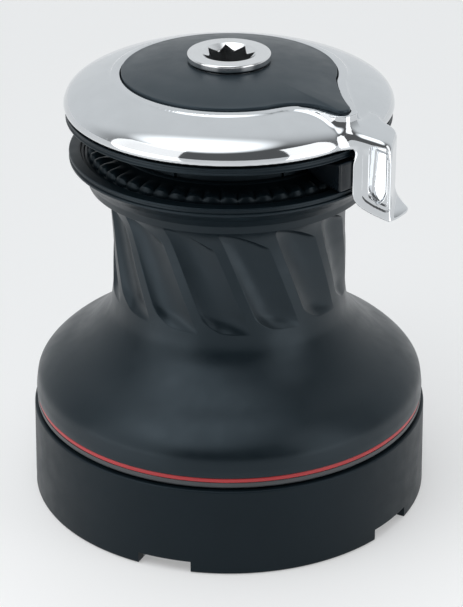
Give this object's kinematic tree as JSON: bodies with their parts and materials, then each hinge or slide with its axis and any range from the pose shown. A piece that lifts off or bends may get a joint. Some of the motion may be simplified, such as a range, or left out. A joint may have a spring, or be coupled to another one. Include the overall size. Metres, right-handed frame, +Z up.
{
  "type": "self-tailing sailboat winch",
  "caption": "Upright self-tailing deck winch: dark fluted drum on a round base, ribbed line jaws, polished feeder ring with a hanging arm, teardrop cover and star handle socket.",
  "frame": {"origin": "on the drum's axis, at the deck face under the base", "axes": "+Z up along the drum's axis; -Y faces the viewer of the picture; the feeder arm hangs at 40 degrees from +X towards -Y"},
  "size_m": [0.1959, 0.196, 0.2243],
  "materials": {
    "skirt_black": "matte",
    "housing": "satin",
    "steel": "satin",
    "stem_metal": "satin",
    "bronze": "satin",
    "bearing_plastic": "satin",
    "black_anodised": "satin",
    "grey_edge": "satin",
    "red_trim": "satin",
    "jaw_black": "satin",
    "polished_chrome": "polished",
    "cover_black": "satin",
    "socket_steel": "satin",
    "rubber_black": "matte",
    "stripper_black": "satin"
  },
  "bodies": {
    "base": {"base_housing": "housing", "skirt": "skirt_black", "shaft_foot_bush": "bronze", "centre_stem": "stem_metal", "stem_screws": "steel", "first_idler_pin": "steel", "reversing_idler_pin": "steel", "second_gear_pin": "steel", "shaft_middle_bush": "bronze", "shaft_top_bush": "bronze", "bearing_spacer": "bearing_plastic", "lower_thrust_ring": "bearing_plastic", "upper_thrust_washer": "bearing_plastic", "stripper_carrier": "stem_metal", "carrier_screws": "steel", "feeder_ring": "polished_chrome", "ring_screws": "steel", "line_stripper": "stripper_black", "top_cover": "cover_black", "cover_seal": "rubber_black"},
    "drum": {"drum": "black_anodised", "ring_gear": "steel", "ring_gear_screws": "steel", "drum_edge_ring": "grey_edge", "red_trim_ring": "red_trim", "upper_jaw": "jaw_black", "jaw_screws": "steel", "jaw_springs": "steel"},
    "lower_jaw": {"lower_jaw": "jaw_black"},
    "shaft": {"main_shaft": "steel", "second_drive_pinion": "steel", "pawl_carrier": "steel", "first_ratchet_gear": "bronze", "first_pawl_springs": "steel", "shaft_circlip": "steel", "handle_socket": "socket_steel", "socket_screw": "steel"},
    "first_idler": {"first_idler": "bronze", "first_idler_bush": "bearing_plastic"},
    "reversing_idler": {"reversing_idler": "bronze", "reversing_idler_bush": "bearing_plastic"},
    "second_wheel": {"second_wheel": "bronze"},
    "second_pinion": {"second_pinion": "steel", "second_pinion_bush": "bearing_plastic", "second_pawl_springs": "steel"},
    "lower_bearing": {"lower_cage": "bearing_plastic", "lower_rollers": "bearing_plastic"},
    "upper_bearing": {"upper_cage": "bearing_plastic", "upper_rollers": "bearing_plastic"},
    "first_pawl_1": {"first_pawl_1": "steel"},
    "first_pawl_2": {"first_pawl_2": "steel"},
    "second_pawl_1": {"second_pawl_1": "steel"},
    "second_pawl_2": {"second_pawl_2": "steel"}
  },
  "joints": [
    {"name": "drum_spin", "type": "hinge", "parent": "base", "child": "drum", "pos_m": [0, 0, 0], "axis": [0, 0, 1], "continuous": true},
    {"name": "shaft_spin", "type": "hinge", "parent": "base", "child": "shaft", "pos_m": [0, 0, 0], "axis": [0, 0, 1], "continuous": true},
    {"name": "first_idler_spin", "type": "hinge", "parent": "base", "child": "first_idler", "pos_m": [0.01158, 0.04037, 0], "axis": [0, 0, 1], "continuous": true},
    {"name": "reversing_idler_spin", "type": "hinge", "parent": "base", "child": "reversing_idler", "pos_m": [-0.01477, 0.04986, 0], "axis": [0, 0, 1], "continuous": true},
    {"name": "second_wheel_spin", "type": "hinge", "parent": "base", "child": "second_wheel", "pos_m": [0, -0.05, 0], "axis": [0, 0, 1], "continuous": true},
    {"name": "second_pinion_spin", "type": "hinge", "parent": "base", "child": "second_pinion", "pos_m": [0, -0.05, 0], "axis": [0, 0, 1], "continuous": true},
    {"name": "lower_bearing_spin", "type": "hinge", "parent": "base", "child": "lower_bearing", "pos_m": [0, 0, 0], "axis": [0, 0, 1], "continuous": true},
    {"name": "upper_bearing_spin", "type": "hinge", "parent": "base", "child": "upper_bearing", "pos_m": [0, 0, 0], "axis": [0, 0, 1], "continuous": true},
    {"name": "lower_jaw_float", "type": "slide", "parent": "drum", "child": "lower_jaw", "axis": [0, 0, -1], "range_m": [0, 0.0025], "stiffness_N_per_m": 8000, "springref_m": -0.004, "deforming": ["jaw_springs"]},
    {"name": "first_pawl_1_fold", "type": "hinge", "parent": "shaft", "child": "first_pawl_1", "pos_m": [0.0172, 0, 0], "axis": [0, 0, -1], "range_deg": [0, 14.5], "stiffness_Nm_per_rad": 0.02, "springref_deg": -17.19},
    {"name": "first_pawl_2_fold", "type": "hinge", "parent": "shaft", "child": "first_pawl_2", "pos_m": [-0.0172, 0, 0], "axis": [0, 0, -1], "range_deg": [0, 14.5], "stiffness_Nm_per_rad": 0.02, "springref_deg": -17.19},
    {"name": "second_pawl_1_fold", "type": "hinge", "parent": "second_pinion", "child": "second_pawl_1", "pos_m": [0.0172, -0.05, 0], "axis": [0, 0, 1], "range_deg": [0, 2.4], "stiffness_Nm_per_rad": 0.02, "springref_deg": -11.46},
    {"name": "second_pawl_2_fold", "type": "hinge", "parent": "second_pinion", "child": "second_pawl_2", "pos_m": [-0.0172, -0.05, 0], "axis": [0, 0, 1], "range_deg": [0, 2.4], "stiffness_Nm_per_rad": 0.02, "springref_deg": -11.46}
  ],
  "couplings": [
    {"joint": "shaft_spin", "follows": "drum_spin", "ratio": 2.3571},
    {"joint": "first_idler_spin", "follows": "drum_spin", "ratio": -4.7143},
    {"joint": "reversing_idler_spin", "follows": "drum_spin", "ratio": 4.7143},
    {"joint": "second_wheel_spin", "follows": "drum_spin", "ratio": -0.91667},
    {"joint": "second_pinion_spin", "follows": "drum_spin", "ratio": 4.125},
    {"joint": "lower_bearing_spin", "follows": "drum_spin", "ratio": 0.54702},
    {"joint": "upper_bearing_spin", "follows": "drum_spin", "ratio": 0.54702}
  ]
}
